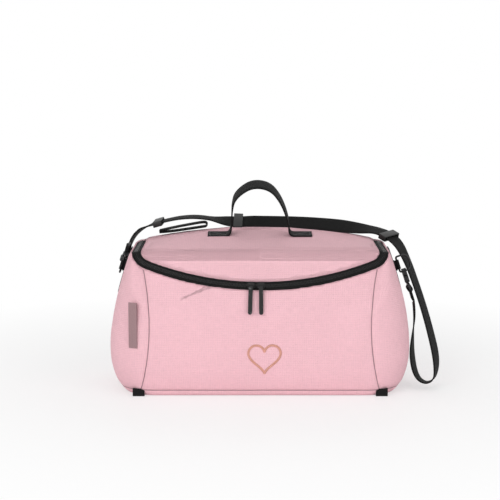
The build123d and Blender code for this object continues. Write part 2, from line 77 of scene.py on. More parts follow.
# ---- the zip's line: an arc in a leaning plane, round corners, straight ends ---------
ZIP_LEAN = radians(25)
ZIP_LOWEST = Vector((0, -85.0, 161.0)) * MM
ZIP_HALF_LENGTH = 180 * MM
ZIP_RISE = 39 * MM
ZIP_CORNER = 24 * MM
ZIP_RADIUS = (ZIP_HALF_LENGTH**2 + ZIP_RISE**2) / (2 * ZIP_RISE)
ZIP_UP = Vector((0, sin(ZIP_LEAN), cos(ZIP_LEAN)))
ZIP_OUT = Vector((0, -cos(ZIP_LEAN), sin(ZIP_LEAN)))
COIL_MIDDLE = 1.25 * MM  # from the zip's line to the middle of each coil
STITCH_OFF = 8.2 * MM  # from the zip's line to each row of stitching

# ---- the shoulder strap's route, from the right-hand hook to the left-hand one -------
STRAP_ROUTE = [
    (229.5, 0.0, 123.6),
    (231.5, -5.0, 105.0),
    (228.0, -14.0, 78.0),
    (225.5, -24.0, 50.0),
    (228.5, -33.0, 26.0),
    (235.0, -38.5, 13.0),
    (246.0, -41.0, 8.0),
    (256.5, -40.0, 13.0),
    (261.0, -36.0, 27.0),
    (260.5, -31.5, 48.0),
    (253.5, -25.0, 79.0),
    (244.5, -16.0, 113.0),
    (233.5, -2.0, 148.0),
    (222.0, 16.0, 181.0),
    (207.8, 41.2, 209.4),
    (185.6, 64.2, 221.4),
    (154.0, 78.0, 223.5),
    (114.0, 86.0, 228.0),
    (68.0, 84.0, 231.0),
    (26.0, 86.5, 231.5),
    (-12.0, 85.0, 232.0),
    (-52.0, 86.0, 233.5),
    (-90.0, 84.0, 241.0),
    (-118.0, 83.0, 240.5),
    (-143.0, 80.0, 236.0),
    (-166.0, 83.0, 229.5),
    (-185.0, 87.0, 221.0),
    (-195.0, 79.0, 208.0),
    (-198.9, 60.4, 199.8),
]
# The way the strap's width points at some of the route's points.
STRAP_WIDTHS = {
    0: (0.0, 1.0, 0.0),
    3: (0.35, 0.94, 0.0),
    6: (0.2, 0.98, -0.1),
    9: (0.45, 0.89, 0.0),
    13: (0.3, 0.9, 0.2),
    15: (0.5, 0.8, 0.2),
    17: (0.0, 0.72, 0.69),
    20: (0.0, 0.66, 0.75),
    21: (0.0, 0.85, 0.5),
    22: (0.0, 1.0, 0.1),
    25: (0.0, 1.0, 0.05),
    27: (-0.1, 0.9, -0.4),
    28: (-0.25, 0.34, -0.906),
}
SLIDE_NAMES = ("right", "middle", "left")


class Value:
    """A shader socket that can be used like a number."""

    def __init__(self, finish, socket):
        self.finish = finish
        self.socket = socket

    def calculated(self, operation, *others):
        inputs = dict(enumerate((self, *others)))
        return self.finish.node("ShaderNodeMath", {"operation": operation}, inputs)

    def __add__(self, other):
        return self.calculated("ADD", other)

    __radd__ = __add__

    def __sub__(self, other):
        return self.calculated("SUBTRACT", other)

    def __rsub__(self, other):
        return self * -1 + other

    def __mul__(self, other):
        return self.calculated("MULTIPLY", other)

    __rmul__ = __mul__

    def __truediv__(self, other):
        return self.calculated("DIVIDE", other)

    def __pow__(self, other):
        return self.calculated("POWER", other)

    def __mod__(self, other):
        return self.calculated("FLOORED_MODULO", other)

    def __abs__(self):
        return self.calculated("ABSOLUTE")

    def sine(self):
        return self.calculated("SINE")

    def floor(self):
        return self.calculated("FLOOR")

    def clamped(self):
        return self.calculated("MINIMUM", 1.0).calculated("MAXIMUM", 0.0)

    def band(self, half, soft):
        """One where the value is within half of zero, falling to nothing over soft."""
        return ((half + soft - abs(self)) / soft).clamped()


class Finish:
    """One procedural material."""

    def __init__(self, name):
        self.material = bpy.data.materials.new(name)
        self.material.use_nodes = True
        self.tree = self.material.node_tree
        self.shader = self.tree.nodes["Principled BSDF"]

    def feed(self, socket, value):
        if isinstance(value, Value):
            self.tree.links.new(value.socket, socket)
        else:
            socket.default_value = value

    def node(self, kind, settings=(), inputs=(), output=0):
        made = self.tree.nodes.new(kind)
        for name, value in dict(settings).items():
            setattr(made, name, value)
        for key, value in dict(inputs).items():
            self.feed(made.inputs[key], value)
        return Value(self, made.outputs[output])

    def split(self, vector):
        made = self.tree.nodes.new("ShaderNodeSeparateXYZ")
        self.feed(made.inputs[0], vector)
        return [Value(self, socket) for socket in made.outputs]

    def place(self):
        """The point's place on the bag, in metres."""
        return self.node("ShaderNodeTexCoord", output="Object")

    def attribute(self, name, output="Vector"):
        return self.node("ShaderNodeAttribute", {"attribute_name": name}, output=output)

    def joined(self, u, v, w=0.0):
        return self.node("ShaderNodeCombineXYZ", inputs={0: u, 1: v, 2: w})

    def noise(self, vector, scale, detail=2.0):
        inputs = {"Vector": vector, "Scale": scale, "Detail": detail}
        return self.node("ShaderNodeTexNoise", inputs=inputs)

    def mixed(self, factor, low, high):
        inputs = {0: factor, 6: low, 7: high}
        return self.node("ShaderNodeMix", {"data_type": "RGBA"}, inputs, output=2)

    def bump(self, height, distance, strength=1.0):
        inputs = {"Height": height, "Distance": distance, "Strength": strength}
        return self.node("ShaderNodeBump", inputs=inputs)

    def surface(self, colour, roughness, normal=None, metallic=0.0, sheen=0.0, specular=0.5):
        feeds = {"Base Color": colour, "Roughness": roughness, "Metallic": metallic}
        if normal is not None:
            feeds["Normal"] = normal
        for name, value in feeds.items():
            self.feed(self.shader.inputs[name], value)
        self.shader.inputs["Sheen Weight"].default_value = sheen
        self.shader.inputs["Specular IOR Level"].default_value = specular
        return self.material


def shade(colour, factor):
    return [*(part * factor for part in colour[:3]), 1.0]


def woven_cloth(name, colour, pitch=1.3 * MM, seams=True):
    """Fine plain-woven cloth with slubs along both threads, and a line of painted shade at each seam."""
    finish = Finish(name)
    u, v, _ = finish.split(finish.attribute("weave"))
    warp = (u * (pi / pitch)).sine()
    weft = (v * (pi / pitch)).sine()
    over = ((u / pitch).floor() + (v / pitch).floor()) % 2.0
    threads = abs(warp) * over + abs(weft) * (1.0 - over)
    along = finish.noise(finish.joined(u * 900, v * 90), 1.0)
    across = finish.noise(finish.joined(u * 90, v * 900), 1.0)
    slubs = along + across - 1.0
    cloudy = finish.noise(finish.place(), 14.0, 3.0)
    rows = (v * (pi / (2 * pitch))).sine() ** 8 + (u * (pi / (2 * pitch))).sine() ** 8
    tone = (slubs * 0.9 + (cloudy - 0.5) * 0.5 + 0.62 + threads * 0.25 - rows * 0.22).clamped()
    colour_over = finish.mixed(tone, shade(colour, 0.86), shade(colour, 1.04))
    height = threads * 0.6 + slubs * 0.9 - rows * 0.5
    if seams:
        side, _, hem = finish.split(finish.attribute("seam"))
        line = side.band(0.3 * MM, 0.7 * MM).calculated("MAXIMUM", hem.band(0.3 * MM, 0.7 * MM))
        roll = side.band(0.5 * MM, 3.0 * MM).calculated("MAXIMUM", hem.band(0.5 * MM, 3.0 * MM))
        # Painted shade: along each seam's line the colour darkens to 0.3 of the cloth, standing in for
        # the shade in the seam's groove.
        colour_over = finish.mixed(line * 0.8, colour_over, shade(colour, 0.3))
        height = height - line * 3.0 - roll * 1.5
    normal = finish.bump(height, 0.3 * MM)
    return finish.surface(colour_over, 0.78 - tone * 0.08, normal, sheen=0.06, specular=0.2)


def plain_cloth(name, colour, pitch=1.1 * MM):
    """Lining cloth, woven along the bag's own directions."""
    finish = Finish(name)
    x, y, z = finish.split(finish.place())
    rows = ((x + y) * (pi / pitch)).sine() * 0.5 + ((z + y) * (pi / pitch)).sine() * 0.5
    cloudy = finish.noise(finish.place(), 30.0, 3.0)
    colour_over = finish.mixed(cloudy, shade(colour, 0.9), shade(colour, 1.06))
    normal = finish.bump(rows, 0.12 * MM)
    return finish.surface(colour_over, 0.7 + cloudy * 0.1, normal, specular=0.3)


def webbing_cloth(name, colour, on_ribbon=True, rib=1.5 * MM):
    """Ribbed webbing: slanting ribs across the band and fine yarns along it."""
    finish = Finish(name)
    if on_ribbon:
        along, across, _ = finish.split(finish.attribute("weave"))
    else:
        x, across, along = finish.split(finish.place())
        along = along + x * 0.35
    slant = abs(((across / (3.4 * MM)) % 1.0) - 0.5) * 1.6
    ribs = (along * (2 * pi / rib) + slant * pi).sine() * 0.5 + 0.5
    yarns = (across * (2 * pi / (0.85 * MM))).sine() * 0.5 + 0.5
    fuzz = finish.noise(finish.place(), 420.0, 3.0)
    # Painted highlight: the colour lightens on the rib crests and the yarns; the fuzz adds a random tone.
    rib_highlight_and_fuzz = (ribs * 0.45 + yarns * 0.2 + fuzz * 0.5 - 0.1).clamped()
    colour_over = finish.mixed(rib_highlight_and_fuzz, shade(colour, 0.4), shade(colour, 2.4))
    normal = finish.bump(ribs * 0.7 + yarns * 0.3 + fuzz * 0.2, 0.35 * MM)
    return finish.surface(colour_over, 0.6 + fuzz * 0.2, normal, specular=0.14)


def zip_tape_cloth(name, colour):
    """Zip tape: fine ribs that run across it."""
    finish = Finish(name)
    x, y, z = finish.split(finish.place())
    ribs = ((x + y * 0.8) * (2 * pi / (1.7 * MM))).sine() * 0.5 + 0.5
    fuzz = finish.noise(finish.place(), 500.0)
    # Painted highlight: the tape's colour lightens on its ribs; the fuzz adds a random tone.
    colour_over = finish.mixed(ribs * 0.6 + fuzz * 0.4, shade(colour, 0.5), shade(colour, 2.0))
    return finish.surface(colour_over, 0.7, finish.bump(ribs, 0.3 * MM), specular=0.14)


def moulded_plastic(name, colour, gloss=0.42):
    """Moulded plastic with a fine grain."""
    finish = Finish(name)
    grain = finish.noise(finish.place(), 900.0, 3.0)
    glints_and_tone = finish.noise(finish.place(), 60.0, 3.0)
    colour_over = finish.mixed(glints_and_tone, shade(colour, 0.8), shade(colour, 1.5))
    return finish.surface(colour_over, gloss + grain * 0.15, finish.bump(grain, 0.05 * MM))


def painted_metal(name, colour):
    """Dark plated metal with painted glints: the colour turns light grey in random patches."""
    finish = Finish(name)
    # Painted glints: random patches where the colour turns light grey.
    glints_and_tone = ((finish.noise(finish.place(), 170.0, 4.0) - 0.62) * 7.0).clamped()
    colour_over = finish.mixed(glints_and_tone, shade(colour, 1.0), (0.1, 0.1, 0.105, 1.0))
    grain = finish.noise(finish.place(), 700.0)
    return finish.surface(
        colour_over, 0.34 + grain * 0.14 - glints_and_tone * 0.05, finish.bump(grain, 0.03 * MM), 0.4
    )


def sewing_thread(name, colour):
    """Twisted thread."""
    finish = Finish(name)
    x, y, z = finish.split(finish.place())
    twist = ((x + y + z) * (2 * pi / (0.7 * MM))).sine() * 0.5 + 0.5
    colour_over = finish.mixed(twist, shade(colour, 0.8), shade(colour, 1.1))
    return finish.surface(colour_over, 0.55, finish.bump(twist, 0.15 * MM), sheen=0.2)


class BagSettings(bpy.types.PropertyGroup):
    """Sizes and colours of the bag's soft pieces."""

    cloth: FloatVectorProperty(
        name="Cloth", description="Colour of the outer cloth", subtype="COLOR",
        default=(0.87, 0.525, 0.58),
    )
    black: FloatVectorProperty(
        name="Webbing", description="Colour of the webbing and the zip tape", subtype="COLOR",
        default=(0.0045, 0.0045, 0.0045),
    )
    motif: FloatVectorProperty(
        name="Motif thread", description="Colour of the sewn motif", subtype="COLOR",
        default=(0.8, 0.4, 0.3),
    )
    grain: FloatProperty(
        name="Mesh grain", description="Edge length of the cloth's mesh",
        default=3.0 * MM, unit="LENGTH",
    )
    seam_depth: FloatProperty(
        name="Seam depth", description="How far the cloth draws in along a seam",
        default=1.6 * MM, unit="LENGTH",
    )
    wrinkle: FloatProperty(
        name="Wrinkle", description="Height of the cloth's soft wrinkles",
        default=1.1 * MM, unit="LENGTH",
    )
    puff: FloatProperty(
        name="Lid puff", description="How far the lid's padding stands up",
        default=1.6 * MM, unit="LENGTH",
    )
    strap_width: FloatProperty(
        name="Strap width", description="Width of the shoulder strap",
        default=25.0 * MM, unit="LENGTH",
    )
    strap_cloth: FloatProperty(
        name="Strap thickness", description="Thickness of the shoulder strap",
        default=1.9 * MM, unit="LENGTH",
    )
    tooth_pitch: FloatProperty(
        name="Tooth pitch", description="Distance from one zip tooth to the next",
        default=2.1 * MM, unit="LENGTH",
    )


# ---- shared modelling ----------------------------------------------------------------
def deselect():
    bpy.ops.object.select_all(action="DESELECT")


def new_object(name, mesh):
    made = bpy.data.objects.new(name, mesh)
    bpy.context.scene.collection.objects.link(made)
    return made


def from_bmesh(name, work):
    mesh = bpy.data.meshes.new(name)
    work.to_mesh(mesh)
    work.free()
    return new_object(name, mesh)


def apply_modifiers(piece):
    deselect()
    piece.select_set(True)
    bpy.context.view_layer.objects.active = piece
    for modifier in list(piece.modifiers):
        bpy.ops.object.modifier_apply(modifier=modifier.name)


def clothed(piece, material, slot_name, *replaced):
    """Gives a piece its finish, and hides the nodes that it stands for."""
    piece.data.materials.clear()
    piece.data.materials.append(material)
    piece.data.polygons.foreach_set("use_smooth", [True] * len(piece.data.polygons))
    if replaced:
        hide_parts(*replaced)


def finished(piece, body, material, slot_name, *replaced):
    """Finishes a piece that moves with one body."""
    clothed(piece, material, slot_name, *replaced)
    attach(piece, body)


def copied_cloth(name, nodes, grain):
    """One continuous soft shell over copies of some nodes."""
    deselect()
    for node in nodes:
        copy = new_object(name, NODES[node].data.copy())
        copy.select_set(True)
        bpy.context.view_layer.objects.active = copy
    if len(nodes) > 1:
        bpy.ops.object.join()
    cloth = bpy.context.view_layer.objects.active
    bpy.ops.object.mode_set(mode="EDIT")
    bpy.ops.mesh.select_all(action="SELECT")
    bpy.ops.mesh.remove_doubles(threshold=0.02 * MM)
    bpy.ops.object.mode_set(mode="OBJECT")
    cloth.data.remesh_voxel_size = grain
    bpy.ops.object.voxel_remesh()
    smooth = cloth.modifiers.new("soften", "SMOOTH")
    smooth.factor = 0.5
    smooth.iterations = 9
    apply_modifiers(cloth)
    cloth.name = name
    return cloth


def tree_of(piece):
    """A tree for finding places on a piece's surface."""
    mesh = piece.data
    corners = [vertex.co.copy() for vertex in mesh.vertices]
    return BVHTree.FromPolygons(corners, [tuple(face.vertices) for face in mesh.polygons])


def smooth_line(points, count=12):
    """Points along a smooth curve that is drawn towards the given ones."""
    curve = bpy.data.curves.new("line", "CURVE")
    curve.dimensions = "3D"
    curve.resolution_u = count
    spline = curve.splines.new("NURBS")
    spline.points.add(len(points) - 1)
    for target, point in zip(spline.points, points):
        target.co = (*point, 1)
    spline.order_u = 3
    spline.use_endpoint_u = True
    holder = new_object("line", curve)
    mesh = bpy.data.meshes.new_from_object(holder)
    line = [vertex.co.copy() for vertex in mesh.vertices]
    bpy.data.objects.remove(holder)
    bpy.data.curves.remove(curve)
    bpy.data.meshes.remove(mesh)
    return line


def lengths(line):
    run = [0.0]
    for before, after in zip(line, line[1:]):
        run.append(run[-1] + (after - before).length)
    return run


def spaced(line, spacing):
    """The same line with its points an even distance apart."""
    run = lengths(line)
    count = max(2, round(run[-1] / spacing))
    made, index = [], 0
    for step in range(count + 1):
        target = run[-1] * step / count
        while index < len(run) - 2 and run[index + 1] < target:
            index += 1
        share = (target - run[index]) / max(run[index + 1] - run[index], 1e-9)
        made.append(line[index].lerp(line[index + 1], share))
    return made


def tangent_at(line, index):
    before, after = line[max(index - 1, 0)], line[min(index + 1, len(line) - 1)]
    return (after - before).normalized()


def ribbon(name, line, widths, width, cloth):
    """Flat webbing along a line, with rounded edges; widths gives each point's direction."""
    work = bmesh.new()
    weave = work.verts.layers.float_vector.new("weave")
    half, thick = width / 2, cloth / 2
    section = [(-half, 0.0)]
    section += [(half * share, thick) for share in (-0.96, -0.5, 0.0, 0.5, 0.96)]
    section += [(half, 0.0)]
    section += [(half * share, -thick) for share in (0.96, 0.5, 0.0, -0.5, -0.96)]
    run = lengths(line)
    rings = []
    for index, point in enumerate(line):
        tangent = tangent_at(line, index)
        side = widths[index] - tangent * widths[index].dot(tangent)
        side.normalize()
        face = tangent.cross(side)
        ring = []
        for across, off in section:
            vertex = work.verts.new(point + side * across + face * off)
            vertex[weave] = (run[index], across, 0)
            ring.append(vertex)
        rings.append(ring)
    for before, after in zip(rings, rings[1:]):
        for index in range(len(section)):
            following = (index + 1) % len(section)
            work.faces.new((before[index], before[following], after[following], after[index]))
    work.faces.new(reversed(rings[0]))
    work.faces.new(rings[-1])
    bmesh.ops.recalc_face_normals(work, faces=work.faces)
    return from_bmesh(name, work)


def tube(work, line, radius, sides):
    """Adds a round tube along a line, closed at both ends."""
    rings = []
    side = None
    for index, point in enumerate(line):
        tangent = tangent_at(line, index)
        side = tangent.orthogonal() if side is None else side - tangent * side.dot(tangent)
        side.normalize()
        up = tangent.cross(side)
        share = [2 * pi * step / sides for step in range(sides)]
        rings.append([work.verts.new(point + (side * cos(a) + up * sin(a)) * radius) for a in share])
    for before, after in zip(rings, rings[1:]):
        for index in range(sides):
            following = (index + 1) % sides
            work.faces.new((before[index], before[following], after[following], after[index]))
    work.faces.new(reversed(rings[0]))
    work.faces.new(rings[-1])


def stitches(name, line, normals, stitch, gap, radius=0.35 * MM):
    """A row of short stitches that lie along a line on a surface."""
    work = bmesh.new()
    step = stitch + gap
    points = spaced(line, step)
    for index in range(len(points) - 1):
        tangent = (points[index + 1] - points[index]).normalized()
        normal = normals(points[index])
        start = points[index] + tangent * gap / 2
        end = start + tangent * stitch
        middle = (start + end) / 2 + normal * radius * 0.9
        sunk = normal * radius * 0.5
        rise, fall = start.lerp(middle, 0.5), middle.lerp(end, 0.5)
        tube(work, [start - sunk, rise, middle, fall, end - sunk], radius, 5)
    bmesh.ops.recalc_face_normals(work, faces=work.faces)
    return from_bmesh(name, work)


# ---- outer cloth ---------------------------------------------------------------------
def end_seam(height):
    """How far from the middle the front's end seam runs at a height."""
    share = height / END_HIGH.z
    return SEAM_X - 17 * MM * sin(pi * min(max(share, 0), 1)) ** 0.8


def round_the_bag(point):
    """Distance round the bag's walls from the middle of the front."""
    bend = 58 * MM
    flat = END_HIGH.x - bend
    across, depth = abs(point.x), point.y - (END_LOW.y + bend)
    if across > flat and depth < 0:
        run = flat + bend * atan2(across - flat, -depth)
    elif depth < 0:
        run = across
    elif across > flat or point.y < MIDDLE.y + 70 * MM:
        run = flat + bend * pi / 2 + depth
    else:
        run = flat + bend * pi / 2 + END_HIGH.y - END_LOW.y - bend + flat - across
    return run if point.x > 0 else -run


def swell(point):
    """Slow unevenness of soft cloth over foam, from -1 to 1."""
    broad = noise.noise(point * 11 + Vector((3.1, 0.7, 5.2)))
    fine = noise.noise(point * 34 + Vector((8.4, 2.6, 1.9)))
    return broad * 1.2 + fine * 0.4


def drag(point):
    """Folds that run inwards from the upper ends of the front's seams, from 0 to 1."""
    side = end_seam(point.z) - abs(point.x)
    if point.y > 0 or side < 0:
        return 0.0
    height = (point.z - 128 * MM) / (22 * MM)
    folds = 0.5 + 0.5 * sin(point.z * 2 * pi / (19 * MM) + side * 24)
    return folds * exp(-height * height) * exp(-side / (34 * MM))


def dress(cloth, gaps_of, lift_of, weave_of):
    """Draws the cloth in along its seams, lifts it between them, and lays out its weave."""
    mesh = cloth.data
    gaps, weaves, moves = [], [], []
    for vertex in mesh.vertices:
        point, normal = vertex.co, vertex.normal
        side, hem = gaps_of(point, normal)
        outer = normal.dot(point - MIDDLE) > 0.15 * (point - MIDDLE).length
        lift = lift_of(point, side, hem) if outer else 0.0
        gaps += [side, 0, hem]
        weaves += list(weave_of(point, normal))
        moves.append(normal * lift)
    for vertex, move in zip(mesh.vertices, moves):
        vertex.co += move
    seam = mesh.attributes.new("seam", "FLOAT_VECTOR", "POINT")
    seam.data.foreach_set("vector", gaps)
    weave = mesh.attributes.new("weave", "FLOAT_VECTOR", "POINT")
    weave.data.foreach_set("vector", weaves)


class BAG_OT_body_cloth(bpy.types.Operator):
    """Make the sewn outer cloth of the bag's body"""

    bl_idname = "bag.body_cloth"
    bl_label = "Body cloth"

    def execute(self, context):
        settings = context.scene.bag
        cloth = copied_cloth("bag_body_cloth", BODY_CLOTH, settings.grain)
        base_line = 9 * MM

        def gaps_of(point, normal):
            if point.z < 2 * MM or normal.z > 0.75:
                return abs(point.x) - SEAM_X, FAR
            if point.y > MIDDLE.y:
                return abs(point.x) - SEAM_X, point.z - base_line
            return abs(point.x) - end_seam(point.z), point.z - base_line

        def lift_of(point, side, hem):
            gap = min(abs(side), abs(hem))
            drawn = -settings.seam_depth * exp(-((gap / (4 * MM)) ** 2))
            pucker = sin(point.z * 2 * pi / (17 * MM) + point.x * 40)
            pucker *= 0.45 * MM * exp(-gap / (9 * MM))
            free = 1 - exp(-((gap / (16 * MM)) ** 2))
            near_floor = min(max((point.z - 4 * MM) / (22 * MM), 0), 1)
            soft = settings.wrinkle * (swell(point) + 1.4 * drag(point)) * free
            return (drawn + pucker + soft) * near_floor

        def weave_of(point, normal):
            if abs(normal.z) > 0.75:
                return point.x, point.y, 0
            return round_the_bag(point), point.z, 0

        dress(cloth, gaps_of, lift_of, weave_of)
        pink = woven_cloth("outer_cloth", settings.cloth)
        finished(cloth, "body", pink, "front_cloth", *BODY_CLOTH)
        return {"FINISHED"}


class BAG_OT_lid_cloth(bpy.types.Operator):
    """Make the padded lid"""

    bl_idname = "bag.lid_cloth"
    bl_label = "Lid cloth"

    def execute(self, context):
        settings = context.scene.bag
        cloth = copied_cloth("lid_cloth", ["lid_panel"], 0.8 * settings.grain)

        def gaps_of(point, normal):
            return FAR, FAR

        def lift_of(point, side, hem):
            inset = min(LID_HIGH.x - abs(point.x), (point - LID_LOW).z + 4 * MM, LID_HIGH.y - point.y)
            padded = 1 - exp(-max(inset, 0) / (14 * MM))
            rolled = -1.2 * MM * exp(-max(inset, 0) / (3 * MM))
            hinge = min(max((LID_HIGH.y - point.y) / (15 * MM), 0), 1)
            return hinge * (padded * (settings.puff * 0.5 + settings.wrinkle * swell(point)) + rolled)

        def weave_of(point, normal):
            return point.x, point.y * 0.9 + point.z * 0.9 * (1 - normal.z), 0

        dress(cloth, gaps_of, lift_of, weave_of)
        # Painted shade: the lid is the same cloth as the body, given 0.97 of its colour to stand in for
        # the dimmer light on the lid's top.
        pink = woven_cloth("lid_cloth", shade(settings.cloth, 0.97)[:3], seams=False)
        finished(cloth, "lid", pink, "lid_cloth", "lid_panel")
        return {"FINISHED"}


# ---- zip -----------------------------------------------------------------------------
def zip_outline(off):
    """Points of the zip's line in its leaning plane, moved outwards by off."""
    corner = ZIP_HALF_LENGTH - ZIP_CORNER
    corner_up = ZIP_RADIUS - sqrt((ZIP_RADIUS - ZIP_CORNER) ** 2 - corner**2)
    turn = asin(corner / (ZIP_RADIUS - ZIP_CORNER))
    right = []
    for step in range(61):
        angle = turn * step / 60
        reach = ZIP_RADIUS + off
        right.append((reach * sin(angle), ZIP_RADIUS - reach * cos(angle)))
    for step in range(1, 13):
        angle = turn + (pi / 2 - turn) * step / 12
        reach = ZIP_CORNER + off
        right.append((corner + reach * sin(angle), corner_up - reach * cos(angle)))
    for step in range(1, 61):
        right.append((ZIP_HALF_LENGTH + off, corner_up + step * 1.0 * MM))
    return [(-x, up) for x, up in reversed(right[1:])] + right


def on_surface(tree, outline, stop_y):
    """Points and normals where an outline in the zip's plane meets the bag."""
    found = []
    for across, up in outline:
        start = ZIP_LOWEST + Vector((across, 0, 0)) + ZIP_UP * up + ZIP_OUT * 0.2
        place, normal, _, _ = tree.ray_cast(start, -ZIP_OUT, 0.5)
        if place is not None and place.y < stop_y and normal.dot(ZIP_OUT) > 0.1:
            found.append((place, normal))
    return found


def normal_finder(found):
    """Looks up the normal of the nearest of some found points."""
    def finder(point):
        return min(found, key=lambda item: (item[0] - point).length_squared)[1]

    return finder


class BAG_OT_zip(bpy.types.Operator):
    """Make the teeth on both sides of the zip"""

    bl_idname = "bag.zip"
    bl_label = "Zip"

    def execute(self, context):
        settings = context.scene.bag
        plastic = moulded_plastic("zip_teeth", shade(settings.black, 1.3), 0.3)
        sides = {
            "body": ("zip_coil_body", COIL_MIDDLE, 0.5),
            "lid": ("zip_coil_lid", -COIL_MIDDLE, 0.0),
        }
        for body, (node, off, shift) in sides.items():
            found = on_surface(tree_of(NODES[node]), zip_outline(off), LID_HIGH.y)
            line = spaced([place for place, _ in found], settings.tooth_pitch)
            normal_at = normal_finder(found)
            work = bmesh.new()
            for index in range(len(line) - 1):
                place = line[index].lerp(line[index + 1], shift)
                along = (line[index + 1] - line[index]).normalized()
                normal = normal_at(place)
                across = along.cross(normal).normalized()
                turn = Matrix((along, across, normal)).transposed().to_4x4()
                size = Matrix.Diagonal((1.15 * MM, 2.3 * MM, 1.1 * MM, 1))
                spot = Matrix.Translation(place - normal * 0.55 * MM)
                made = bmesh.ops.create_cube(work, size=1, matrix=spot @ turn @ size)
                top = [v for v in made["verts"] if (v.co - place).dot(normal) > -0.3 * MM]
                for vertex in top:
                    vertex.co -= along * (vertex.co - place).dot(along) * 0.35
            teeth = from_bmesh(f"zip_teeth_{body}", work)
            finished(teeth, body, plastic, "zip_coil", node)
            teeth.data.polygons.foreach_set("use_smooth", [False] * len(teeth.data.polygons))
        return {"FINISHED"}


class BAG_OT_seams(bpy.types.Operator):
    """Sew a row of stitching on each side of the zip"""

    bl_idname = "bag.seams"
    bl_label = "Stitching"

    def execute(self, context):
        settings = context.scene.bag
        thread = sewing_thread("cloth_thread", shade(settings.cloth, 0.9))
        rows = {
            "body": ("bag_body_cloth", STITCH_OFF, "front_cloth"),
            "lid": ("lid_cloth", -STITCH_OFF, "lid_cloth"),
        }
        for body, (name, off, slot_name) in rows.items():
            tree = tree_of(bpy.data.objects[name])
            found = on_surface(tree, zip_outline(off), LID_HIGH.y - 4 * MM)
            row = stitches(
                f"{body}_zip_stitching", [place for place, _ in found],
                normal_finder(found), 2.6 * MM, 0.9 * MM,
            )
            finished(row, body, thread, slot_name)
        return {"FINISHED"}


# ---- carry handle --------------------------------------------------------------------
class BAG_OT_handle(bpy.types.Operator):
    """Make the carry handle's webbing and the stitching that holds it"""

    bl_idname = "bag.handle"
    bl_label = "Carry handle"

    def execute(self, context):
        settings = context.scene.bag
        low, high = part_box("handle_patch_right")
        foot = (low + high) / 2
        cloth, width = 2.2 * MM, 28 * MM
        lid_rise = 0.1233
        lid_slope = Vector((0, 1, lid_rise)).normalized()
        lid_up = Vector((0, -lid_rise, 1)).normalized()
        lean = radians(20)
        arch_up = Vector((0, -sin(lean), cos(lean)))
        arch_side = Vector((0, cos(lean), sin(lean)))
        base = Vector((0, foot.y, foot.z)) + lid_up * 0.6 * MM
        axis = base + lid_up * 16 * MM
        patch_reach, leg = high.x, 43.5 * MM
        arch = [
            (-0.97 * leg, 2), (-0.96 * leg, 14), (-0.95 * leg, 28), (-0.86 * leg, 46),
            (-0.42 * leg, 63), (-0.02 * leg, 66), (0.38 * leg, 60), (0.66 * leg, 44),
            (0.86 * leg, 24), (0.99 * leg, 2),
        ]
        points = [base + Vector((-patch_reach, 0, 0)), base + Vector((-leg - 14 * MM, 0, 0))]
        points += [base + Vector((-leg - 4 * MM, 0, 0)), base + Vector((-leg, 0, 0)) + lid_up * 5 * MM]
        points += [axis + Vector((x, 0, 0)) + arch_up * up * MM for x, up in arch]
        points += [base + Vector((leg, 0, 0)) + lid_up * 5 * MM, base + Vector((leg + 4 * MM, 0, 0))]
        points += [base + Vector((leg + 14 * MM, 0, 0)), base + Vector((patch_reach, 0, 0))]
        line = spaced(smooth_line(points), 2 * MM)
        widths = []
        for point in line:
            share = min(max((point.z - base.z) / (22 * MM), 0), 1)
            widths.append(lid_slope.lerp(arch_side, share))
        band = ribbon("carry_handle_webbing", line, widths, width, cloth)
        black = webbing_cloth("handle_webbing", settings.black)
        clothed(band, black, "webbing", "carry_handle", "handle_patch_left", "handle_patch_right")
        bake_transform(band)
        thread = sewing_thread("handle_thread", (0.09, 0.09, 0.09))
        for name, side in (("left", -1), ("right", 1)):
            near, far = side * (leg + 6 * MM), side * (patch_reach - 3 * MM)
            half = 11 * MM
            top = base + lid_up * cloth * 0.5
            corners = [(near, -half), (far, -half), (far, half), (near, half), (near, -half), (far, half)]
            line = [top + Vector((x, 0, 0)) + lid_slope * y for x, y in corners]
            line += [top + Vector((far, 0, 0)) - lid_slope * half]
            row = stitches(
                f"handle_stitching_{name}", line, lambda point: lid_up, 2.4 * MM, 0.8 * MM, 0.3 * MM
            )
            finished(row, "lid", thread, "webbing")
        return {"FINISHED"}


# ---- shoulder strap ------------------------------------------------------------------
def strap_line():
    return smooth_line([Vector(point) * MM for point in STRAP_ROUTE], 14)


def strap_width_at(station):
    """Direction of the strap's width at a place counted in route points."""
    keys = sorted(STRAP_WIDTHS)
    for low, high in zip(keys, keys[1:]):
        if station <= high:
            share = (station - low) / (high - low)
            share = share * share * (3 - 2 * share)
            return Vector(STRAP_WIDTHS[low]).lerp(Vector(STRAP_WIDTHS[high]), share).normalized()
    return Vector(STRAP_WIDTHS[keys[-1]]).normalized()


